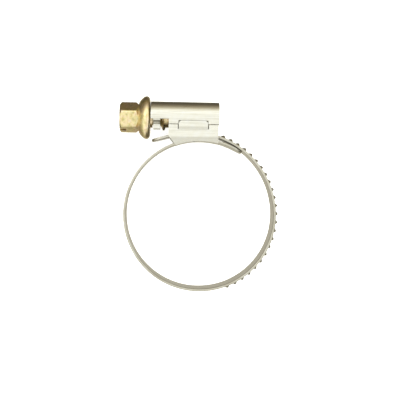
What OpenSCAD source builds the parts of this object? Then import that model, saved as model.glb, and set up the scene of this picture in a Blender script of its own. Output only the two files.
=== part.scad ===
// Worm-drive hose clamp, lying flat: +Z runs along the hose, the loop is in the XY plane,
// the screw lies along X on the +Y side, and the origin is the centre of the hose bore.

/* [Band] */
// Inside radius of the closed loop
loop_r = 18.9; // [18.7:0.1:19.1]
// Thickness of the band strip
band_t = 0.6; // [0.5:0.05:0.7]
// Width of the band strip
band_w = 9; // [8:0.5:9]
// Number of short lengths that the bending part of the band is made in
section_count = 10; // [10:1:10]
// Direction of the seam where the stiff toothed end meets the bending part
seam_dir = 4.5; // [4:0.5:5]

/* [Teeth] */
// Height of a tooth above the band
tooth_h = 0.6; // [0.4:0.05:0.65]
// Length of a tooth across the band
tooth_w = 5.6; // [4:0.2:6]
// Turn of the toothed end for one turn of the screw, in degrees
feed_step = 5.6; // [5.6:0.1:5.6]
// Teeth on each toothed section of the loop
section_teeth = 4; // [4:1:4]

/* [Free end] */
// Radius of the toothed end at mid thickness
tail_r = 21.1; // [21:0.1:21.2]
// Direction at which its curve runs out into the straight tip
tail_bend_dir = 105.3; // [105.1:0.1:105.5]
// Length of the straight tip
tip_len = 5.4; // [5:0.1:6]

/* [Screw] */
// Height of the screw's axis above the centre of the loop
screw_y = 24.8; // [24.7:0.1:25]
// Width of the hex head across its flats
hex_af = 7; // [7:1:7]
// Length of the hex head
hex_len = 5; // [4:0.5:6]
// Turn of the hex head about its axis
hex_turn = 9; // [0:1:60]
// Diameter of the flange behind the head
flange_d = 11.2; // [10:0.2:11.4]
// Radius of the worm's crest
worm_r = 3.25; // [3.2:0.05:3.3]
// Radius of the worm's core
core_r = 2.5; // [2.3:0.1:2.6]

/* [Housing] */
// Height of the tunnel's top above the screw's axis
tunnel_rise = 4.1; // [4.05:0.05:4.3]
// Thickness of the tunnel's sheet
sheet_t = 0.7; // [0.6:0.05:0.72]
// Left end of the tunnel
tunnel_x0 = -12.9; // [-12.9:0.1:-12.7]
// Right end of the tunnel
tunnel_x1 = 4.6; // [4.5:0.1:5]
// Left end of the saddle's side walls
saddle_x0 = -8.3; // [-8.5:0.1:-8]
// Right end of the saddle's side walls
saddle_x1 = 4.4; // [4:0.1:4.6]
// Height of the seam between the tunnel and the saddle
seam_y = 23; // [22.8:0.1:23.2]

/* [Hidden] */
round_fn = 96;

// The loop: its sections run clockwise from the seam to the saddle's left end.
loop_end_dir = 112;
section_angle = (seam_dir + 360 - loop_end_dir) / section_count;
section_gap = 0.18;
loop_mid_r = loop_r + band_t / 2;
tooth_sections = 3;
hidden_end_angle = 15;

// The saddle's floor lies on the band's fixed end, and steps outwards to clear the sliding end.
floor_right_dir = 79;
floor_step_dir = 94.5;
floor_left_dir = 107;
floor_t = 0.44;
floor_step = 0.38;
fixed_end_dir = 94.3;

// The strip's rounded ends are a touch thinner than the strip and start just inside it.
end_thinning = 0.04;
end_overlap = 0.15;

// The stiff toothed end turns about its own centre, so it passes outside the saddle's band.
tail_off = tail_r - loop_mid_r;
tail_x = -tail_off * cos(seam_dir);
tail_y = -tail_off * sin(seam_dir);
tail_teeth = 20;
mesh_r = tail_r + band_t / 2 + tooth_h / 2;
worm_pitch = mesh_r * feed_step * PI / 180;
lead_angle = atan(worm_pitch / (2 * PI * worm_r));

// The screw, from the hex head's end at the left to its journal at the right.
flange_x0 = -15.9;
flange_x1 = -13.05;
groove_x0 = -12.5;
worm_x0 = -10.1;
worm_x1 = 2.7;
journal_x1 = 4.5;
journal_r = 1.85;
slot_w = 1.2;
slot_depth = 1.7;
thread_steps = 24;

// The saddle and the tunnel stand this far out from the band's edges.
wall_in = band_w / 2 + 0.1;
wall_out = wall_in + sheet_t;
hood_y = screw_y - 0.5;
wall_low_r = loop_r - 0.06;
floor_r = loop_r + band_t + 0.04;
tab_x0 = -5.75;
tab_x1 = 1.7;
tab_y0 = 21.9;
tab_y1 = 23.9;
tab_proud = 0.3;

steel = [0.74, 0.73, 0.69];
band_steel = [0.66, 0.63, 0.57];
yellow_zinc = [0.72, 0.6, 0.3];

// A curved strip of the band's width between two directions.
module arc_strip(r_in, r_out, from, to, w) {
    rotate([0, 0, from])
        rotate_extrude(angle = to - from, $fn = round_fn)
            translate([r_in, -w / 2])
                square([r_out - r_in, w]);
}

// One slanted tooth, standing on a face at radius r in direction dir.
module tooth(r, dir) {
    root = 0.12;
    rotate([0, 0, dir])
        translate([r, 0, 0])
            rotate([-lead_angle, 0, 0])
                linear_extrude(height = tooth_w, center = true)
                    polygon([[-root, 0.78], [0, 0.7], [tooth_h, -0.12], [tooth_h, -0.4], [0, -0.6],
                        [-root, -0.62]]);
}

// A strip end with a round point, thick along X, running along Y and wide along Z.
module round_end(len, w) {
    corner = w * 0.32;
    rotate([0, -90, 0])
        linear_extrude(height = band_t - end_thinning, center = true)
            union() {
                translate([-w / 2, 0])
                    square([w, len - corner]);
                translate([-w / 2 + corner, 0])
                    square([w - 2 * corner, len]);
                for (side = [-1, 1])
                    translate([side * (w / 2 - corner), len - corner])
                        circle(r = corner, $fn = 48);
            }
}

module band_section(number) {
    from = seam_dir - number * section_angle;
    teeth = number <= tooth_sections ? section_teeth : 0;
    hidden = number == section_count ? hidden_end_angle : 0;
    color(band_steel)
        union() {
            arc_strip(loop_r, loop_r + band_t, from + section_gap / 2 - hidden,
                from + section_angle - section_gap / 2, band_w);
            for (k = [1 : 1 : teeth])
                tooth(loop_r + band_t, from + section_angle * (k - 0.5) / section_teeth);
        }
}

module band_free_end() {
    color(band_steel)
        translate([tail_x, tail_y, 0])
            union() {
                arc_strip(tail_r - band_t / 2, tail_r + band_t / 2, seam_dir + section_gap / 2,
                    tail_bend_dir, band_w);
                rotate([0, 0, tail_bend_dir])
                    translate([tail_r, -end_overlap, 0])
                        round_end(tip_len, band_w);
                for (k = [0 : tail_teeth - 1])
                    tooth(tail_r + band_t / 2, seam_dir + feed_step * (k + 0.5));
            }
}

module band_fixed_end() {
    color(band_steel)
        arc_strip(loop_r, loop_r + band_t, 76, fixed_end_dir, band_w);
}

module band_tongue() {
    from = 62;
    color(band_steel)
        union() {
            arc_strip(loop_r, loop_r + band_t, from, 75.8, band_w);
            rotate([0, 0, from])
                translate([loop_mid_r, end_overlap, 0])
                    mirror([0, 1, 0])
                        round_end(1.9, band_w);
        }
}

module saddle_plate() {
    color(steel)
        union() {
            arc_strip(floor_r, floor_r + floor_t, floor_right_dir, floor_step_dir + 1, 2 * wall_in + 0.2);
            arc_strip(floor_r + floor_step, floor_r + floor_step + floor_t, floor_step_dir, floor_left_dir,
                2 * wall_in + 0.2);
            for (side = [-1, 1])
                translate([0, 0, side * (wall_in + wall_out) / 2])
                    saddle_wall();
            for (side = [-1, 1])
                translate([(tab_x0 + tab_x1) / 2, (tab_y0 + tab_y1) / 2, side * (wall_out + tab_proud / 2)])
                    cube([tab_x1 - tab_x0, tab_y1 - tab_y0, tab_proud + 0.02], center = true);
            for (side = [-1, 1])
                translate([(tab_x0 + tab_x1) / 2, (seam_y + tab_y1) / 2 - 0.05,
                        side * (wall_in + wall_out) / 2])
                    cube([tab_x1 - tab_x0, tab_y1 - seam_y + 0.1, sheet_t], center = true);
        }
}

module saddle_wall() {
    corner_y = 20.1;
    corner_slope = 52;
    linear_extrude(height = sheet_t, center = true)
        difference() {
            translate([saddle_x0, 17])
                square([saddle_x1 - saddle_x0, seam_y - 17]);
            circle(r = wall_low_r, $fn = round_fn);
            translate([saddle_x0, corner_y])
                rotate([0, 0, -corner_slope])
                    translate([-5, -5])
                        square([15, 5]);
        }
}

// The tunnel's section across the screw: a flat top with round shoulders on straight walls down to foot_y.
module tunnel_profile(top, half_w, foot_y) {
    shoulder_y = 0.5;
    shoulder_r = top - shoulder_y;
    union() {
        for (side = [-1, 1])
            translate([side * (half_w - shoulder_r), shoulder_y])
                circle(r = shoulder_r, $fn = round_fn);
        translate([shoulder_r - half_w, foot_y])
            square([2 * (half_w - shoulder_r), top - foot_y]);
        translate([-half_w, foot_y])
            square([2 * half_w, shoulder_y - foot_y]);
    }
}

module tunnel_shell(x0, x1, foot_y) {
    in_rise = tunnel_rise - sheet_t;
    translate([x0, screw_y, 0])
        rotate([0, 90, 0])
            linear_extrude(height = x1 - x0)
                difference() {
                    tunnel_profile(tunnel_rise, wall_out, foot_y);
                    tunnel_profile(in_rise, wall_in, foot_y - 0.01);
                    translate([-10, foot_y - 10])
                        square([20, 10]);
                }
}

module tunnel_housing() {
    in_rise = tunnel_rise - sheet_t;
    finger_x0 = -12.25;
    finger_len = 1.8;
    color(steel)
        difference() {
            union() {
                tunnel_shell(saddle_x0, tunnel_x1, seam_y - screw_y);
                intersection() {
                    tunnel_shell(tunnel_x0, saddle_x0 + 0.01, seam_y - screw_y);
                    translate([tunnel_x0, hood_y, -10])
                        cube([saddle_x0 - tunnel_x0 + 0.01, 10, 20]);
                }
                for (side = [-1, 1])
                    translate([finger_x0, screw_y, 0])
                        rotate([0, 90, 0])
                            linear_extrude(height = finger_len)
                                scale([side, 1])
                                    polygon([[wall_out, 0], [wall_in, 0.3], [wall_in, -0.2], [2.25, -1.3],
                                        [2.25, -2.9], [2.95, -2.9], [2.95, -1.5], [wall_out, -0.5]]);
                translate([tunnel_x1 - sheet_t, screw_y, 0])
                    rotate([0, 90, 0])
                        linear_extrude(height = sheet_t)
                            difference() {
                                tunnel_profile(in_rise + 0.1, wall_in + 0.1, seam_y - screw_y);
                                circle(r = journal_r + 0.12, $fn = 48);
                                translate([-5, -12.1])
                                    square([10, 10]);
                            }
            }
            for (side = [-1, 1])
                translate([(tab_x0 + tab_x1) / 2, seam_y, side * (wall_out - 0.3)])
                    cube([tab_x1 - tab_x0 + 0.1, 2 * (tab_y1 - seam_y) + 0.1, 3], center = true);
        }
}

// The worm's raised thread: a right-handed helix about +X, midway between teeth at its lowest line.
module worm_thread() {
    turns = (worm_x1 - worm_x0) / worm_pitch - 0.35;
    steps = floor(turns * thread_steps);
    tooth_x = tail_x + mesh_r * cos(seam_dir + feed_step * 15.5);
    start_x = tooth_x + worm_pitch * (0.5 - 4) + 0.1;
    run_in = 8;
    function rise(i) = min(1, i / run_in, (steps - i) / run_in);
    function ring(i) =
        let (a = 180 + i * 360 / thread_steps, x = start_x + i * worm_pitch / thread_steps,
            top_r = core_r + (worm_r - core_r) * (0.15 + 0.85 * rise(i)), low_r = core_r - 0.15)
        [for (p = [[-0.55, low_r], [-0.28, top_r], [0.28, top_r], [0.55, low_r]])
            [x + p[0], p[1] * cos(a), p[1] * sin(a)]];
    points = [for (i = [0 : steps]) each ring(i)];
    sides = [for (i = [0 : steps - 1]) for (j = [0 : 3])
        let (a = 4 * i + j, b = 4 * i + (j + 1) % 4)
        [a, b, b + 4, a + 4]];
    translate([0, screw_y, 0])
        polyhedron(points = points,
            faces = concat([[3, 2, 1, 0]], sides, [[for (j = [0 : 3]) 4 * steps + j]]));
}

module along_screw(x) {
    translate([x, screw_y, 0])
        rotate([90, 0, 90])
            children();
}

module worm_screw() {
    hex_x0 = flange_x0 - hex_len;
    color(yellow_zinc)
        union() {
            difference() {
                intersection() {
                    along_screw(hex_x0)
                        rotate([0, 0, hex_turn])
                            cylinder(r = hex_af / sqrt(3), h = hex_len + 0.5, $fn = 6);
                    along_screw(hex_x0)
                        cylinder(r1 = hex_af / 2 - 0.1, r2 = hex_af / 2 + 10, h = 10, $fn = round_fn);
                }
                translate([hex_x0, screw_y, 0])
                    rotate([hex_turn + 150, 0, 0])
                        cube([2 * slot_depth, 12, slot_w], center = true);
            }
            along_screw(0)
                rotate_extrude($fn = round_fn)
                    polygon([[0, flange_x0 - 0.1], [3.75, flange_x0 - 0.1], [4.3, flange_x0 + 0.5],
                        [5.2, flange_x0 + 1.05], [flange_d / 2, flange_x0 + 1.5],
                        [flange_d / 2, flange_x1 - 0.35], [5.2, flange_x1], [2.6, flange_x1],
                        [2.6, groove_x0], [1.9, groove_x0], [1.9, worm_x0 - 0.3],
                        [core_r, worm_x0 - 0.1], [core_r, worm_x1 - 0.3], [journal_r, worm_x1],
                        [journal_r, journal_x1], [0, journal_x1]]);
            worm_thread();
        }
}

worm_screw();
tunnel_housing();
saddle_plate();
band_fixed_end();
band_tongue();
band_free_end();
for (i = [1 : section_count])
    band_section(i);
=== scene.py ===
"""The looks of a worm-drive hose clamp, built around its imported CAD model. Sizes are in millimetres."""

import math

import bmesh
import bpy
from mathutils import Matrix, Quaternion, Vector


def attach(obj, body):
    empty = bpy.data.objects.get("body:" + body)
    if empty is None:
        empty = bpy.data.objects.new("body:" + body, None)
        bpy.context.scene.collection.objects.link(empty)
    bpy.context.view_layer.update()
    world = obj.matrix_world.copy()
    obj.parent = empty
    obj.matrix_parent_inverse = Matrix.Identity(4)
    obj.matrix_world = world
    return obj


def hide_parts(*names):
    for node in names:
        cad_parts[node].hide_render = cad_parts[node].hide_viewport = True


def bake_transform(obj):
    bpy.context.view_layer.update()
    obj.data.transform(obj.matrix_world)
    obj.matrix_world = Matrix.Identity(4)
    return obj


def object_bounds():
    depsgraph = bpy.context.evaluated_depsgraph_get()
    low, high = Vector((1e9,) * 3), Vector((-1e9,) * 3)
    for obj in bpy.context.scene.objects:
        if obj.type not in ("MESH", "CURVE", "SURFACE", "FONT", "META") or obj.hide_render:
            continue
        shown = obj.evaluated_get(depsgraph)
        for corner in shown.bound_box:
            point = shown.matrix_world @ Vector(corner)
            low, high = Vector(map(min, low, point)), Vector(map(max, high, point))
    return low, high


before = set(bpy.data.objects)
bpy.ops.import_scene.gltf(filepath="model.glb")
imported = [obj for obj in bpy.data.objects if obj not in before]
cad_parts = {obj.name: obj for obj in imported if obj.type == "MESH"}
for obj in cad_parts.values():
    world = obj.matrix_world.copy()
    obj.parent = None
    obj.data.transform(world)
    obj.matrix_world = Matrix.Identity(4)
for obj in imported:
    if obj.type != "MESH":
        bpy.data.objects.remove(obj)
cad_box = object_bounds()

MM = 0.001

# The band: its loop is round the origin, and its stiff toothed end turns about its own centre.
BAND_T = 0.6
BAND_W = 9.0
BAND_EDGE = 0.12
LOOP_R = 19.2
TAIL_R = 21.1
SEAM_DIR = 4.5
LOOP_END_DIR = 112 - 360
SECTIONS = 10
SECTION_ANGLE = (SEAM_DIR - LOOP_END_DIR) / SECTIONS
HIDDEN_END_DIR = LOOP_END_DIR - 15
TAIL_BEND_DIR = 105.3
TIP_LEN = 5.25
TIP_CORNER = 2.88
TAIL_SPLIT_DIR = 10.1
FIXED_END_DIR = 94.3
FIXED_TONGUE_DIR = 76.0
TONGUE_TIP_DIR = 62.0
TONGUE_TIP_LEN = 1.75
STATION_STEP = 1.5

# The teeth lean with the worm's thread: a gentle back, a short crest and a steep front.
TOOTH_H = 0.6
TOOTH_HALF_W = 2.8
TOOTH_END_RUN = 0.3
TOOTH_BACK = 0.72
TOOTH_BACK_RUN = 0.84
TOOTH_FRONT = 0.62
TOOTH_FRONT_RUN = 0.24
FEED_STEP = 5.6
TAIL_TEETH = 20
TOOTH_SECTIONS = 3
SECTION_TEETH = 4
SLANT_END = 2.9
SLANT_FADE = 1.3
SLANT_STOP_DIR = -80.0
SLANT_STOP_RUN = 8.0

# The screw lies along X.
SCREW_Y = 24.8
HEX_AF = 7.0
HEX_TURN = 9.0
HEX_X0 = -20.9
HEX_X1 = -16.05
HEX_CORNER_CUT = 0.1
NECK_R = 3.45
FLANGE_R = 5.55
FLANGE_X0 = -16.0
FLANGE_X1 = -13.05
RIM_X = -13.95
FLANK_BOW = 0.42
SHOULDER_DROP = 1.3
COLLAR_R = 2.6
GROOVE_X0 = -12.5
GROOVE_R = 1.9
WORM_X0 = -10.1
WORM_X1 = 2.7
WORM_R = 3.25
CORE_R = 2.5
JOURNAL_R = 1.85
JOURNAL_X1 = 4.5
SLOT_W = 1.2
SLOT_DEPTH = 1.7
TAIL_OFF = TAIL_R - LOOP_R
TAIL_CENTRE = Vector((-TAIL_OFF * math.cos(math.radians(SEAM_DIR)),
                      -TAIL_OFF * math.sin(math.radians(SEAM_DIR))))
MESH_R = TAIL_R + BAND_T / 2 + TOOTH_H / 2
WORM_PITCH = MESH_R * math.radians(FEED_STEP)
LEAD = WORM_PITCH / (2 * math.pi * WORM_R)

# The housing: a rolled tunnel over the screw, and a saddle under it that holds the band.
SHEET_T = 0.7
TUNNEL_R = 4.1
SHOULDER_Y = 0.5
TUNNEL_X0 = -12.9
TUNNEL_X1 = 4.6
SADDLE_X0 = -8.3
SADDLE_X1 = 4.4
WALL_IN = 4.6
WALL_OUT = WALL_IN + SHEET_T
SEAM_Y = 23.0
SEAM_GAP = 0.07
HOOD_Y = 24.3
TAB_X0 = -5.75
TAB_X1 = 1.7
TAB_Y0 = 21.8
TAB_Y1 = 23.9
TAB_PROUD = 0.3
TAB_CUT = 0.22
TAB_CORNER = 0.75
FINGER_X0 = -12.25
FINGER_X1 = -10.45
FINGER_Z = 2.6
FINGER_END_Y = -2.9
JOURNAL_GAP = 0.12
RING_OVERLAP = 0.08
FLOOR_RIGHT_DIR = 79.0
FLOOR_STEP_DIR = 93.5
FLOOR_STEP_RUN = 2.5
FLOOR_LEFT_DIR = 107.0
FLOOR_GAP = 0.04
FLOOR_T = 0.44
FLOOR_STEP = 0.38
WALL_LEAN = 0.36
CORNER_Y = 20.1
CORNER_SLOPE = 52.0
BEND_Y = 19.8
WALL_LOW_R = 18.84

# The camera looks down almost along the hose. The lamp stands at the upper left, in metres and watts.
CAMERA_PLACE = Vector((-8.2, 8.75, 247.9))
CAMERA_TARGET = Vector((0.0, 3.85, 4.5))
CAMERA_LENS = 86.1
CAMERA_ROLL = 1.0
LAMP_PLACE = (-0.28, 0.16, 0.42)
LAMP_SIZE = 0.14
LAMP_POWER = 0.16


def smooth(t):
    t = min(1.0, max(0.0, t))
    return t * t * (3 - 2 * t)


def spread(first, last, count):
    """count values from first to last, both included."""
    return [first + (last - first) * i / (count - 1) for i in range(count)]


def heading(degrees):
    return Vector((math.cos(math.radians(degrees)), math.sin(math.radians(degrees))))


# ---------- mesh helpers ----------

def finish_mesh(name, bm, material, sharp=35.0, bevel=0.0, bevel_angle=40.0):
    """Welds, bevels and shades a closed mesh, and returns it as an object in metres."""
    bmesh.ops.remove_doubles(bm, verts=bm.verts, dist=1e-4)
    bmesh.ops.recalc_face_normals(bm, faces=bm.faces)
    if bevel:
        corners = [e for e in bm.edges if e.is_manifold and e.calc_face_angle(0) > math.radians(bevel_angle)]
        bmesh.ops.bevel(bm, geom=corners, offset=bevel, segments=2, profile=0.6, affect="EDGES",
                        clamp_overlap=True)
    for face in bm.faces:
        face.smooth = True
    for edge in bm.edges:
        edge.smooth = not edge.is_manifold or edge.calc_face_angle(0) < math.radians(sharp)
    bmesh.ops.scale(bm, vec=(MM, MM, MM), verts=bm.verts)
    mesh = bpy.data.meshes.new(name)
    bm.to_mesh(mesh)
    bm.free()
    mesh.materials.append(material)
    made = bpy.data.objects.new(name, mesh)
    bpy.context.scene.collection.objects.link(made)
    return made


def add_rings(bm, rings, layer=None, marks=None):
    """A closed skin through rings of equal length, with a cap at each end."""
    rows = []
    for i, ring in enumerate(rings):
        row = [bm.verts.new(p) for p in ring]
        if layer is not None:
            for vert, mark in zip(row, marks[i]):
                vert[layer] = mark
        rows.append(row)
    count = len(rows[0])
    for row, following in zip(rows, rows[1:]):
        for j in range(count):
            k = (j + 1) % count
            bm.faces.new((row[j], row[k], following[k], following[j]))
    bm.faces.new(list(reversed(rows[0])))
    bm.faces.new(rows[-1])


def add_sheet(bm, outer, inner, present):
    """A thick sheet on a grid: outer and inner are rows of points, and present(i, j) picks the cells."""
    rows, columns = len(outer), len(outer[0])
    verts = {}

    def vert(side, i, j):
        if (side, i, j) not in verts:
            verts[side, i, j] = bm.verts.new((outer if side else inner)[i][j])
        return verts[side, i, j]

    def filled(i, j):
        return 0 <= i < rows - 1 and 0 <= j < columns - 1 and present(i, j)

    for i in range(rows - 1):
        for j in range(columns - 1):
            if not filled(i, j):
                continue
            corners = [(i, j), (i + 1, j), (i + 1, j + 1), (i, j + 1)]
            beyond = [filled(i, j - 1), filled(i + 1, j), filled(i, j + 1), filled(i - 1, j)]
            bm.faces.new([vert(1, *c) for c in corners])
            bm.faces.new([vert(0, *c) for c in reversed(corners)])
            for n in range(4):
                if not beyond[n]:
                    a, b = corners[n], corners[(n + 1) % 4]
                    bm.faces.new((vert(1, *b), vert(1, *a), vert(0, *a), vert(0, *b)))


# ---------- materials ----------

class Nodes:
    """Short ways to add and join shader nodes."""

    def __init__(self, name):
        self.material = bpy.data.materials.new(name)
        self.material.use_nodes = True
        self.tree = self.material.node_tree
        self.shader = self.tree.nodes["Principled BSDF"]

    def add(self, kind, **settings):
        node = self.tree.nodes.new(kind)
        for key, value in settings.items():
            setattr(node, key, value)
        return node

    def join(self, source, target):
        self.tree.links.new(source, target)

    def coordinates(self, attribute=None):
        if attribute:
            return self.add("ShaderNodeAttribute", attribute_name=attribute).outputs["Vector"]
        return self.add("ShaderNodeTexCoord").outputs["Object"]

    def stretched(self, source, scale):
        node = self.add("ShaderNodeMapping")
        node.inputs["Scale"].default_value = scale
        self.join(source, node.inputs["Vector"])
        return node.outputs["Vector"]

    def noise(self, source, scale, detail=3.0, rough=0.55):
        node = self.add("ShaderNodeTexNoise")
        node.inputs["Scale"].default_value = scale
        node.inputs["Detail"].default_value = detail
        node.inputs["Roughness"].default_value = rough
        self.join(source, node.inputs["Vector"])
        return node.outputs["Fac"]

    def ramp(self, source, *stops):
        node = self.add("ShaderNodeValToRGB")
        ramp = node.color_ramp
        while len(ramp.elements) < len(stops):
            ramp.elements.new(0.5)
        for element, (place, colour) in zip(ramp.elements, stops):
            element.position = place
            element.color = (*colour, 1)
        self.join(source, node.inputs["Fac"])
        return node.outputs["Color"]

    def between(self, source, low, high, start=0.3, stop=0.7):
        node = self.add("ShaderNodeMapRange")
        node.inputs["From Min"].default_value = start
        node.inputs["From Max"].default_value = stop
        node.inputs["To Min"].default_value = low
        node.inputs["To Max"].default_value = high
        self.join(source, node.inputs["Value"])
        return node.outputs["Result"]

    def multiply(self, colour, other, amount=1.0):
        node = self.add("ShaderNodeMix", data_type="RGBA", blend_type="MULTIPLY")
        node.inputs[0].default_value = amount
        self.join(colour, node.inputs[6])
        self.join(other, node.inputs[7])
        return node.outputs[2]

    def bump(self, height, depth, strength=1.0, below=None):
        node = self.add("ShaderNodeBump")
        node.inputs["Strength"].default_value = strength
        node.inputs["Distance"].default_value = depth * MM
        self.join(height, node.inputs["Height"])
        if below:
            self.join(below, node.inputs["Normal"])
        return node.outputs["Normal"]


def steel_material(name, attribute, along, across, base, warm, worn):
    """Rolled steel: fine lines along the rolling direction, soft stains and a slightly uneven gloss.
    The strip's own coordinates end with the height above its face, which is used to paint shade onto its
    teeth."""
    made = Nodes(name)
    made.shader.inputs["Metallic"].default_value = 1.0
    source = made.coordinates(attribute)
    unit = 1.0 if attribute else 1 / MM
    lines = made.noise(made.stretched(source, (along * unit, across * unit, across * unit)), 1.0, 4.0, 0.6)
    finer = (2 * along * unit, 3 * across * unit, 3 * across * unit)
    fine = made.noise(made.stretched(source, finer), 1.0, 2.0)
    stains = made.noise(source, 0.35 * unit, 3.0, 0.6)
    tone = made.ramp(stains, (0.34, base), (0.54, warm), (0.72, base))
    streak = made.ramp(lines, (0.3, worn), (0.52, (1.0, 1.0, 1.0)))
    tone = made.multiply(tone, streak, 0.85)
    if attribute:
        # Painted shade: the raised teeth are darkened in the base colour, by their height above the band's
        # face.
        split = made.add("ShaderNodeSeparateXYZ")
        made.join(source, split.inputs["Vector"])
        height = made.between(split.outputs["Z"], 0.0, 1.0, 0.02, 0.4)
        painted_tooth_shade = made.ramp(height, (0.0, (1.0, 1.0, 1.0)), (0.4, (0.26, 0.24, 0.20)),
                          (1.0, (0.34, 0.32, 0.27)))
        tone = made.multiply(tone, painted_tooth_shade)
    made.join(tone, made.shader.inputs["Base Color"])
    made.join(made.between(lines, 0.38, 0.25), made.shader.inputs["Roughness"])
    normal = made.bump(lines, 0.012, 0.5)
    made.join(made.bump(fine, 0.005, 0.5, normal), made.shader.inputs["Normal"])
    return made.material


def zinc_material():
    """Yellow chromated zinc: gold with pink and green tints, cloudy, over fine turning marks."""
    made = Nodes("yellow_zinc")
    made.shader.inputs["Metallic"].default_value = 1.0
    source = made.coordinates()
    cloud = made.noise(source, 0.42 / MM, 3.0, 0.6)
    patch = made.noise(made.stretched(source, (1.2 / MM, 0.8 / MM, 0.8 / MM)), 1.0, 4.0, 0.65)
    tint = made.ramp(cloud, (0.30, (0.52, 0.50, 0.32)), (0.44, (0.76, 0.67, 0.38)),
                     (0.55, (0.82, 0.68, 0.50)), (0.70, (0.58, 0.56, 0.42)))
    wear = made.ramp(patch, (0.32, (0.70, 0.64, 0.45)), (0.55, (1.0, 1.0, 1.0)))
    turning = made.noise(made.stretched(source, (14 / MM, 1.2 / MM, 1.2 / MM)), 1.0, 2.0)
    made.join(made.multiply(tint, wear, 0.8), made.shader.inputs["Base Color"])
    made.join(made.between(patch, 0.42, 0.27), made.shader.inputs["Roughness"])
    normal = made.bump(patch, 0.02, 0.5)
    made.join(made.bump(turning, 0.006, 0.5, normal), made.shader.inputs["Normal"])
    return made.material


# ---------- the band ----------

def tooth_rise(u):
    """Height of a tooth at u, in millimetres anticlockwise from its middle."""
    level = max(0.0, min(1.0, (TOOTH_BACK - u) / TOOTH_BACK_RUN, (u + TOOTH_FRONT) / TOOTH_FRONT_RUN))
    return TOOTH_H * (level + smooth(level)) / 2


def loop_teeth():
    """Directions of the teeth on the bending part of the loop."""
    return [SEAM_DIR - SECTION_ANGLE * (n - (k + 0.5) / SECTION_TEETH)
            for n in range(1, TOOTH_SECTIONS + 1) for k in range(SECTION_TEETH)]


def tail_teeth():
    return [SEAM_DIR + FEED_STEP * (k + 0.5) for k in range(TAIL_TEETH)]


def arc_stations(centre, radius, first, last, teeth):
    """Stations from direction first down to last, close together on each tooth.
    A station is (point, outward normal, tooth height, slant share)."""
    face_r = radius + BAND_T / 2
    count = max(2, round((first - last) / STATION_STEP) + 1)
    plain = spread(first, last, count)
    samples = spread(-TOOTH_FRONT, TOOTH_BACK - TOOTH_BACK_RUN, 7) + spread(0, TOOTH_BACK, 5)
    near = [t + math.degrees(u / face_r) for t in teeth for u in samples]
    reach = math.degrees(TOOTH_BACK / face_r)
    plain = [a for a in plain if a in (first, last) or all(abs(a - t) > reach for t in teeth)]
    angles = sorted(set(plain + [a for a in near if last < a < first]), reverse=True)
    made = []
    for a in angles:
        nearest = min(teeth, key=lambda t: abs(t - a), default=None)
        height = 0.0 if nearest is None else tooth_rise(math.radians(a - nearest) * face_r)
        slant = smooth((a - SLANT_STOP_DIR) / SLANT_STOP_RUN) if teeth or first < 0 else 0.0
        made.append((centre + radius * heading(a), heading(a), height, slant))
    return made


def tip_stations(start, normal, along, length):
    """Flat stations from start to a strip's rounded point."""
    places = [length * 0.25, length - TIP_CORNER] if length > TIP_CORNER else []
    corner = min(TIP_CORNER, length)
    places += [length - corner * (1 - math.sin(math.radians(a))) for a in range(9, 82, 9)]
    places += [length - 0.03, length]
    return [(start + along * d, normal, 0.0, 0.0) for d in sorted(set(places))]


def tip_half_width(left, corner=TIP_CORNER):
    """Half the strip's width where left millimetres remain to its point."""
    if left >= corner:
        return BAND_W / 2
    return BAND_W / 2 - corner + math.sqrt(corner ** 2 - (corner - left) ** 2)


def cross_section(half_w, thickness):
    """Points round the strip's section as (across, out, on the outer face)."""
    e = min(BAND_EDGE, thickness / 2 - 0.02)
    flat = half_w - e
    half_t = thickness / 2
    shares = spread(0, 1, 4) + [1.02, 1.06, 1.1, 1.2, 1.35, 1.5]
    places = [share * TOOTH_HALF_W for share in shares if share * TOOTH_HALF_W < flat - 0.1]
    face = sorted({round(side * z, 4) for side in (-1, 1) for z in places} | {-flat, flat})
    corner = [(flat + 0.7 * e, half_t - 0.3 * e), (half_w, half_t - e), (half_w, e - half_t),
              (flat + 0.7 * e, 0.3 * e - half_t)]
    under = [(z, -half_t, False) for z in spread(flat, -flat, 7)]
    out = [(z, half_t, True) for z in face]
    right = [(z, n, False) for z, n in corner]
    left = [(-z, n, False) for z, n in reversed(corner)]
    return out + right + under + left


FULL_SECTION = cross_section(BAND_W / 2, BAND_T)


def strip_ring(station, half_w, thickness):
    """One ring of the strip as points, with the strip's own coordinates for its finish."""
    point, normal, height, slant = station
    tangent = Vector((-normal.y, normal.x))
    shrink = half_w / (BAND_W / 2)
    slim = thickness / BAND_T
    points, raised = [], []
    for z, n, outer in FULL_SECTION:
        across = z * shrink
        reach = n * slim
        shift = 0.0
        if outer:
            end = smooth((TOOTH_HALF_W - abs(across)) / TOOTH_END_RUN + 1)
            reach += height * end
            shift = slant * LEAD * across * smooth((SLANT_END + SLANT_FADE - abs(across)) / SLANT_FADE)
        spot = point + normal * reach + tangent * shift
        points.append((spot.x, spot.y, across))
        raised.append(max(0.0, reach - BAND_T / 2))
    return points, raised


def strip_piece(name, stations, run, material, tip_first=False, tip_last=False):
    """A length of band through stations. run is the distance along the band at its first station."""
    bm = bmesh.new()
    layer = bm.verts.layers.float_vector.new("strip")
    lengths = [0.0]
    for a, b in zip(stations, stations[1:]):
        lengths.append(lengths[-1] + (b[0] - a[0]).length)
    total = lengths[-1]
    rings, marks = [], []
    for station, s in zip(stations, lengths):
        left = s if tip_first else total - s
        pointed = tip_first or tip_last
        half_w = tip_half_width(left) if pointed else BAND_W / 2
        thickness = BAND_T - (0.16 * (1 - smooth(left / 0.12)) if pointed else 0.0)
        ring, raised = strip_ring(station, half_w, thickness)
        rings.append(ring)
        marks.append([Vector((run + s, p[2], h)) for p, h in zip(ring, raised)])
    add_rings(bm, rings, layer, marks)
    made = finish_mesh(name, bm, material, sharp=50.0)
    return made, run + total


def middle(number):
    """Direction of the middle of a section of the loop."""
    return SEAM_DIR - SECTION_ANGLE * (number - 0.5)


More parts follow.
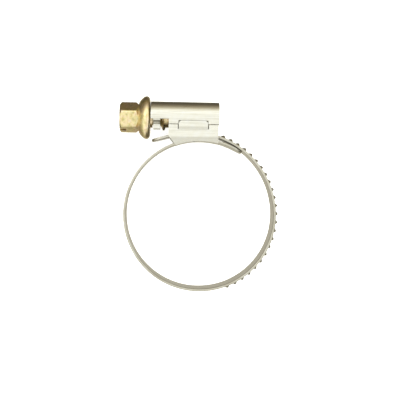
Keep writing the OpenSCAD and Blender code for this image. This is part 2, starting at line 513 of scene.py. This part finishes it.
def build_band(material):
    origin = Vector((0, 0))
    teeth = loop_teeth()
    bend = TAIL_CENTRE + TAIL_R * heading(TAIL_BEND_DIR)
    outward = heading(TAIL_BEND_DIR)
    tip = tip_stations(bend, outward, Vector((-outward.y, outward.x)), TIP_LEN)
    tail = arc_stations(TAIL_CENTRE, TAIL_R, TAIL_BEND_DIR, TAIL_SPLIT_DIR, tail_teeth())
    free_end, run = strip_piece("band_free_end", list(reversed(tip)) + tail, 0.0, material, tip_first=True)
    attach(free_end, "free_end")
    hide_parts("band_free_end")

    stations = arc_stations(TAIL_CENTRE, TAIL_R, TAIL_SPLIT_DIR, SEAM_DIR, tail_teeth()[:1])[:-1]
    stations += arc_stations(origin, LOOP_R, SEAM_DIR, middle(1), teeth)
    joined, run = strip_piece("band_part_1", stations, run, material)
    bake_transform(joined)
    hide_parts("band_section_1")

    for n in range(1, SECTIONS):
        near = [t for t in teeth if middle(n + 1) < t < middle(n)]
        stations = arc_stations(origin, LOOP_R, middle(n), middle(n + 1), near)
        part, run = strip_piece(f"band_part_{n + 1}", stations, run, material)
        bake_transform(part)
        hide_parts(f"band_section_{n + 1}")

    stations = arc_stations(origin, LOOP_R, middle(SECTIONS), HIDDEN_END_DIR, [])
    last, run = strip_piece("band_sliding_end", stations, run, material)
    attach(last, f"section_{SECTIONS}")
    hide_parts(f"band_section_{SECTIONS}")

    stations = arc_stations(origin, LOOP_R, FIXED_END_DIR, FIXED_TONGUE_DIR, [])
    fixed, run = strip_piece("band_fixed_end", stations, run, material)
    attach(fixed, "housing")
    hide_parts("band_fixed_end")

    tongue_out = heading(TONGUE_TIP_DIR)
    stations = arc_stations(origin, LOOP_R, FIXED_TONGUE_DIR, TONGUE_TIP_DIR, [])
    ahead = Vector((tongue_out.y, -tongue_out.x))
    stations += tip_stations(LOOP_R * tongue_out, tongue_out, ahead, TONGUE_TIP_LEN)
    tongue, run = strip_piece("band_tongue", stations, run, material, tip_last=True)
    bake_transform(tongue)
    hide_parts("band_tongue")


# ---------- the screw ----------

def head_radius(x, turn):
    """Radius of the hex head at x, in direction turn from +Y towards +Z."""
    flat = HEX_AF / 2
    off = (turn - HEX_TURN + 30) % 60 - 30
    facet = flat / math.cos(math.radians(30 - abs(off)))
    corner = HEX_AF / math.sqrt(3) - HEX_CORNER_CUT
    chamfer = flat - 0.12 + (x - HEX_X0) * 1.15
    back = flat - 0.1 + (HEX_X1 - x) * 0.9
    return min(facet, corner, chamfer, back)


def flange_radius(x):
    """Radius of the flange: a long domed flank up to its crest, and a short round shoulder behind it."""
    if x < RIM_X:
        return FLANGE_R - FLANK_BOW * (RIM_X - x) ** 2
    right = (x - RIM_X) / (FLANGE_X1 - RIM_X)
    return FLANGE_R - SHOULDER_DROP * (1 - math.sqrt(max(0.0, 1 - right ** 2)))


def worm_radius(x, turn):
    """Radius of the worm: a right-handed thread midway between teeth at its lowest line."""
    tooth_x = TAIL_CENTRE.x + MESH_R * math.cos(math.radians(SEAM_DIR + FEED_STEP * 15.5))
    start_x = tooth_x - 3.5 * WORM_PITCH + 0.1
    phase = (x - start_x) / WORM_PITCH - (turn - 180) / 360
    off = abs(phase - round(phase)) * WORM_PITCH
    crest = smooth((0.6 - off) / 0.36)
    fade = smooth((x - WORM_X0 + 0.1) / 0.5) * smooth((WORM_X1 - 0.2 - x) / 1.0)
    return CORE_R + (WORM_R - CORE_R) * crest * fade


def screw_radius(x, turn):
    if x <= FLANGE_X0:
        neck = NECK_R if x > HEX_X1 - 0.9 else 0.0
        return max(head_radius(x, turn), neck)
    if x <= FLANGE_X1:
        return flange_radius(x)
    if x <= GROOVE_X0:
        return COLLAR_R
    if x <= WORM_X0 - 0.3:
        return GROOVE_R
    if x <= WORM_X1:
        edge = min((x - WORM_X0 + 0.3) / 0.35, (WORM_X1 - x) / 0.35, 1.0)
        return max(GROOVE_R, worm_radius(x, turn) - 0.45 * (1 - edge))
    return JOURNAL_R - 0.15 * smooth((x - JOURNAL_X1 + 0.2) / 0.2)


def screw_places():
    """Where the rings of the screw's skin stand, with two at each step."""
    places = spread(HEX_X0, HEX_X0 + 0.8, 11) + spread(HEX_X0 + 1.2, HEX_X1 - 1.0, 10)
    places += spread(HEX_X1 - 0.9, FLANGE_X0, 14) + spread(FLANGE_X0 + 0.04, FLANGE_X1, 40)
    for step in (FLANGE_X1, GROOVE_X0, WORM_X0 - 0.3):
        places.append(step + 0.01)
    places += spread(GROOVE_X0 - 0.2, GROOVE_X0, 2)
    places += spread(WORM_X0 - 0.29, WORM_X1, 110)
    places += spread(WORM_X1 + 0.01, JOURNAL_X1, 8)
    return sorted(set(places))


def build_screw(material):
    turns = [HEX_TURN + 3 * k for k in range(120)]
    bm = bmesh.new()
    rings = []
    for x in screw_places():
        ring = []
        for turn in turns:
            r = screw_radius(x, turn)
            ring.append((x, SCREW_Y + r * math.cos(math.radians(turn)), r * math.sin(math.radians(turn))))
        rings.append(ring)
    add_rings(bm, rings)
    screw = finish_mesh("worm_screw", bm, material, sharp=28.0)
    cut_slot(screw)
    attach(screw, "screw")
    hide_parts("worm_screw")


def cut_slot(screw):
    """Cuts the screwdriver slot across the hex head's end."""
    bm = bmesh.new()
    bmesh.ops.create_cube(bm, size=1.0)
    bmesh.ops.scale(bm, vec=(2 * SLOT_DEPTH * MM, 12 * MM, SLOT_W * MM), verts=bm.verts)
    mesh = bpy.data.meshes.new("slot_cutter")
    bm.to_mesh(mesh)
    bm.free()
    cutter = bpy.data.objects.new("slot_cutter", mesh)
    bpy.context.scene.collection.objects.link(cutter)
    cutter.location = (HEX_X0 * MM, SCREW_Y * MM, 0)
    cutter.rotation_euler = (math.radians(HEX_TURN + 150), 0, 0)
    cut = screw.modifiers.new("slot", "BOOLEAN")
    cut.object = cutter
    cut.operation = "DIFFERENCE"
    cut.solver = "EXACT"
    bpy.context.view_layer.update()
    ready = screw.evaluated_get(bpy.context.evaluated_depsgraph_get())
    made = bpy.data.meshes.new_from_object(ready)
    screw.modifiers.clear()
    screw.data = made
    bpy.data.objects.remove(cutter)


# ---------- the housing ----------

def sheet_sides(line, thickness):
    """Points either side of a line of (across, up) points, as outer and inner lists."""
    outer, inner = [], []
    for i, point in enumerate(line):
        ahead = line[min(i + 1, len(line) - 1)] - line[max(i - 1, 0)]
        side = Vector((-ahead.y, ahead.x)).normalized() * thickness / 2
        outer.append(point + side)
        inner.append(point - side)
    return outer, inner


def tunnel_line():
    """Middle line of the tunnel's section as (across, up), from the near foot over to the far one."""
    foot = WALL_OUT - SHEET_T / 2
    round_r = TUNNEL_R - SHOULDER_Y - SHEET_T / 2
    heights = (SEAM_Y + SEAM_GAP, SEAM_Y + 0.45, TAB_Y1 + 0.05, HOOD_Y + 0.01, SCREW_Y + 0.1)
    upright = [Vector((foot, y)) for y in heights]
    centre = Vector((foot - round_r, SCREW_Y + SHOULDER_Y))
    half = upright + [centre + round_r * heading(a) for a in spread(0, 90, 24)]
    return half + [Vector((-p.x, p.y)) for p in reversed(half)]


def add_tunnel(bm):
    line = tunnel_line()
    outer, inner = sheet_sides(line, -SHEET_T)
    xs = sorted(set(spread(TUNNEL_X0, SADDLE_X0, 8) + spread(SADDLE_X0, TAB_X0 - 0.03, 5)
                    + spread(TAB_X0 - 0.03, TAB_X1 + 0.03, 12) + spread(TAB_X1 + 0.03, TUNNEL_X1, 6)))
    window = [i for i, p in enumerate(line) if p.y > HOOD_Y]
    notch = [i for i, p in enumerate(line) if p.y > TAB_Y1 + 0.04]

    def present(i, j):
        x = (xs[j] + xs[j + 1]) / 2
        if x < SADDLE_X0:
            return window[0] <= i < window[-1]
        if TAB_X0 - 0.03 < x < TAB_X1 + 0.03:
            return notch[0] <= i < notch[-1]
        return True

    add_sheet(bm, [[(x, p.y, p.x) for x in xs] for p in outer],
              [[(x, p.y, p.x) for x in xs] for p in inner], present)


def add_finger(bm, side):
    """The tongue of sheet that is pressed into the screw's groove."""
    root = Vector((4.95, -0.2))
    bow = Vector((4.9, -1.1))
    hollow = Vector((FINGER_Z, -0.9))
    low = Vector((FINGER_Z, -1.9))
    line = []
    for t in spread(0, 1, 12):
        bend = root * (1 - t) ** 3 + bow * 3 * t * (1 - t) ** 2
        line.append(bend + hollow * 3 * t * t * (1 - t) + low * t ** 3)
    line += [Vector((FINGER_Z, y)) for y in (-2.2, -2.55, FINGER_END_Y)]
    line = [Vector((p.x, p.y + SCREW_Y)) for p in line]
    outer, inner = sheet_sides(line, SHEET_T)
    xs = spread(FINGER_X0, FINGER_X1, 6)
    add_sheet(bm, [[(x, p.y, side * p.x) for x in xs] for p in outer],
              [[(x, p.y, side * p.x) for x in xs] for p in inner], lambda i, j: True)


def end_reach(turn):
    """Distance from the screw's axis to the tunnel's inside, in direction turn from +Z towards +Y."""
    across, up = abs(math.cos(math.radians(turn))), math.sin(math.radians(turn))
    round_r = TUNNEL_R - SHEET_T - SHOULDER_Y
    centre_z = WALL_IN - round_r
    along = centre_z * across + SHOULDER_Y * up
    reach = along + math.sqrt(along ** 2 - centre_z ** 2 - SHOULDER_Y ** 2 + round_r ** 2)
    if reach * up < SHOULDER_Y:
        reach = WALL_IN / across
    elif reach * across < centre_z:
        reach = (TUNNEL_R - SHEET_T) / up
    if up < 0:
        reach = min(reach, (SCREW_Y - SEAM_Y) / -up)
    return reach + RING_OVERLAP


def add_end_ring(bm):
    """The tunnel's end, turned in round the screw's journal."""
    turns = spread(-28, 208, 60)

    def grid(x):
        return [[(x, SCREW_Y + r * math.sin(math.radians(a)), r * math.cos(math.radians(a)))
                 for r in spread(JOURNAL_R + JOURNAL_GAP, end_reach(a), 5)] for a in turns]

    add_sheet(bm, grid(TUNNEL_X1 - 0.04), grid(TUNNEL_X1 - SHEET_T), lambda i, j: True)


def wall_low(x):
    """Height of the saddle wall's lower edge at x."""
    bore = math.sqrt(WALL_LOW_R ** 2 - x ** 2)
    corner = CORNER_Y - (x - SADDLE_X0) * math.tan(math.radians(CORNER_SLOPE))
    return max(bore, corner)


def tab_top(x):
    inside = max(0.0, min(x - TAB_X0, TAB_X1 - x))
    if inside >= TAB_CORNER:
        return TAB_Y1
    return TAB_Y1 - TAB_CORNER + math.sqrt(TAB_CORNER ** 2 - (TAB_CORNER - inside) ** 2)


def add_wall(bm, side):
    """A side of the saddle, with the tab that is pressed out over the seam."""
    xs = spread(SADDLE_X0, TAB_X0 - TAB_CUT, 12) + spread(TAB_X0, TAB_X0 + TAB_CORNER, 6)
    xs += spread(TAB_X0 + TAB_CORNER, TAB_X1 - TAB_CORNER, 14) + spread(TAB_X1 - TAB_CORNER, TAB_X1, 6)
    xs += spread(TAB_X1 + TAB_CUT, SADDLE_X1, 6)
    xs = sorted(set(round(x, 4) for x in xs))
    below, plain, upper, tab = 6, 6, 5, 6
    rows = below + plain + upper + tab + 1

    def height(i, x):
        low = wall_low(x)
        bend = max(BEND_Y, low + 0.35)
        top = SEAM_Y - SEAM_GAP
        if i <= below:
            return low + (bend - low) * i / below
        if i <= below + plain:
            return bend + (TAB_Y0 - bend) * (i - below) / plain
        if i <= below + plain + upper:
            return TAB_Y0 + (top - TAB_Y0) * (i - below - plain) / upper
        return top + (tab_top(x) - top) * (i - below - plain - upper) / tab

    def lean(x, y):
        return -WALL_LEAN * max(0.0, max(BEND_Y, wall_low(x) + 0.35) - y)

    def proud(x, y):
        across = smooth((x - TAB_X0 + 0.3) / 0.3) * smooth((TAB_X1 + 0.3 - x) / 0.3)
        return TAB_PROUD * across * smooth((y - TAB_Y0) / 0.45)

    outer, inner = [], []
    for i in range(rows):
        ys = [height(i, x) for x in xs]
        outer.append([(x, y, side * (WALL_OUT + lean(x, y) + proud(x, y))) for x, y in zip(xs, ys)])
        inner.append([(x, y, side * (WALL_IN + proud(x, y))) for x, y in zip(xs, ys)])

    def present(i, j):
        x = (xs[j] + xs[j + 1]) / 2
        slot = TAB_X0 - TAB_CUT < x < TAB_X0 or TAB_X1 < x < TAB_X1 + TAB_CUT
        if i >= below + plain + upper:
            return TAB_X0 < x < TAB_X1
        return not (slot and i >= below + plain)

    add_sheet(bm, outer, inner, present)


def add_floor(bm):
    """The saddle's floor over the band's fixed end, stepped out to clear its sliding end."""
    inner_r = LOOP_R + BAND_T / 2 + FLOOR_GAP
    stepped_dir = FLOOR_STEP_DIR + FLOOR_STEP_RUN
    angles = sorted(set(spread(FLOOR_RIGHT_DIR, FLOOR_STEP_DIR, 14) + spread(FLOOR_STEP_DIR, stepped_dir, 8)
                        + spread(stepped_dir, FLOOR_LEFT_DIR, 12)))
    radii = [inner_r + FLOOR_STEP * smooth((a - FLOOR_STEP_DIR) / FLOOR_STEP_RUN) for a in angles]
    across = spread(-WALL_IN - 0.1, WALL_IN + 0.1, 8)

    def grid(grow):
        return [[(*((r + grow) * heading(a)), z) for z in across] for a, r in zip(angles, radii)]

    add_sheet(bm, grid(FLOOR_T), grid(0.0), lambda i, j: True)


def build_housing(material):
    bm = bmesh.new()
    add_tunnel(bm)
    for side in (-1, 1):
        add_finger(bm, side)
    add_end_ring(bm)
    tunnel = finish_mesh("tunnel_housing", bm, material, bevel=0.1)
    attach(tunnel, "housing")
    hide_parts("tunnel_housing")
    bm = bmesh.new()
    for side in (-1, 1):
        add_wall(bm, side)
    add_floor(bm)
    saddle = finish_mesh("saddle_plate", bm, material, bevel=0.08)
    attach(saddle, "housing")
    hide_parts("saddle_plate")


# ---------- floor, light and camera ----------

def build_floor():
    half = 1.5
    mesh = bpy.data.meshes.new("floor")
    z = cad_box[0].z - 0.05 * MM
    corners = [(-half, -half, z), (half, -half, z), (half, half, z), (-half, half, z)]
    mesh.from_pydata(corners, [], [(0, 1, 2, 3)])
    floor = bpy.data.objects.new("floor", mesh)
    bpy.context.scene.collection.objects.link(floor)
    made = Nodes("floor")
    made.shader.inputs["Base Color"].default_value = (0.92, 0.92, 0.92, 1)
    made.shader.inputs["Roughness"].default_value = 0.9
    made.shader.inputs["Specular IOR Level"].default_value = 0.1
    made.shader.inputs["Emission Color"].default_value = (1, 1, 1, 1)
    made.shader.inputs["Emission Strength"].default_value = 0.8
    mesh.materials.append(made.material)
    floor.visible_glossy = False


def build_world():
    """A pale tent overhead that falls off to dull warm surroundings towards +Y, over a grey board."""
    world = bpy.data.worlds.new("studio")
    bpy.context.scene.world = world
    world.use_nodes = True
    nodes, links = world.node_tree.nodes, world.node_tree.links
    place = nodes.new("ShaderNodeTexCoord")
    height = nodes.new("ShaderNodeVectorMath")
    height.operation = "DOT_PRODUCT"
    height.inputs[1].default_value = (0.08, -0.28, 0.38)
    raised = nodes.new("ShaderNodeMath")
    raised.inputs[1].default_value = 0.45
    tent = nodes.new("ShaderNodeValToRGB")
    links.new(place.outputs["Generated"], height.inputs[0])
    links.new(height.outputs["Value"], raised.inputs[0])
    links.new(raised.outputs["Value"], tent.inputs["Fac"])
    stops = ((0.0, (0.07, 0.06, 0.035)), (0.13, (0.14, 0.11, 0.065)), (0.31, (0.30, 0.25, 0.16)),
             (0.455, (0.62, 0.585, 0.43)), (0.54, (0.92, 0.92, 0.84)), (0.66, (0.93, 0.93, 0.87)),
             (0.80, (0.76, 0.76, 0.70)), (0.86, (0.74, 0.74, 0.68)), (0.94, (0.50, 0.49, 0.43)))
    while len(tent.color_ramp.elements) < len(stops):
        tent.color_ramp.elements.new(0.5)
    for element, (place_at, colour) in zip(tent.color_ramp.elements, stops):
        element.position = place_at
        element.color = (*colour, 1)
    split = nodes.new("ShaderNodeSeparateXYZ")
    dim = nodes.new("ShaderNodeMapRange")
    dim.inputs["From Min"].default_value = -0.3
    dim.inputs["From Max"].default_value = 0.5
    dim.inputs["To Min"].default_value = 0.6
    dimmed = nodes.new("ShaderNodeVectorMath")
    dimmed.operation = "SCALE"
    below = nodes.new("ShaderNodeMapRange")
    below.interpolation_type = "SMOOTHSTEP"
    below.inputs["From Min"].default_value = -0.75
    below.inputs["From Max"].default_value = -0.95
    both = nodes.new("ShaderNodeMix")
    both.data_type = "RGBA"
    both.inputs[7].default_value = (0.44, 0.42, 0.35, 1)
    links.new(place.outputs["Generated"], split.inputs["Vector"])
    links.new(split.outputs["Z"], below.inputs["Value"])
    links.new(below.outputs["Result"], both.inputs[0])
    links.new(split.outputs["Z"], dim.inputs["Value"])
    links.new(tent.outputs["Color"], dimmed.inputs[0])
    links.new(dim.outputs["Result"], dimmed.inputs["Scale"])
    links.new(dimmed.outputs["Vector"], both.inputs[6])
    links.new(both.outputs[2], nodes["Background"].inputs["Color"])
    nodes["Background"].inputs["Strength"].default_value = 1.8


def build_light(name, place, size, power, colour):
    data = bpy.data.lights.new(name, "AREA")
    data.shape = "DISK"
    data.size = size
    data.energy = power
    data.color = colour
    lamp = bpy.data.objects.new(name, data)
    bpy.context.scene.collection.objects.link(lamp)
    lamp.location = place
    lamp.rotation_mode = "QUATERNION"
    lamp.rotation_quaternion = (-Vector(place)).to_track_quat("-Z", "Y")


def build_camera():
    data = bpy.data.cameras.new("camera")
    camera = bpy.data.objects.new("camera", data)
    bpy.context.scene.collection.objects.link(camera)
    data.sensor_width = 36.0
    data.lens = CAMERA_LENS
    data.clip_start = 0.01
    data.clip_end = 10.0
    camera.location = CAMERA_PLACE * MM
    target = CAMERA_TARGET * MM
    camera.rotation_mode = "QUATERNION"
    back = (camera.location - target).normalized()
    right = Vector((0, 1, 0)).cross(back).normalized()
    level = Matrix((right, back.cross(right), back)).transposed().to_quaternion()
    camera.rotation_quaternion = level @ Quaternion((0, 0, 1), math.radians(CAMERA_ROLL))
    bpy.context.scene.camera = camera


band_steel = steel_material("band_steel", "strip", 0.12, 5.0, base=(0.50, 0.49, 0.45),
                            warm=(0.47, 0.45, 0.39), worn=(0.72, 0.70, 0.66))
housing_steel = steel_material("housing_steel", None, 0.10, 3.5, base=(0.70, 0.70, 0.68),
                               warm=(0.68, 0.67, 0.62), worn=(0.76, 0.75, 0.71))
build_band(band_steel)
build_screw(zinc_material())
build_housing(housing_steel)
build_floor()
build_world()
build_light("lamp", LAMP_PLACE, LAMP_SIZE, LAMP_POWER, (1.0, 0.99, 0.96))
build_camera()
bpy.context.scene.view_settings.view_transform = "Standard"
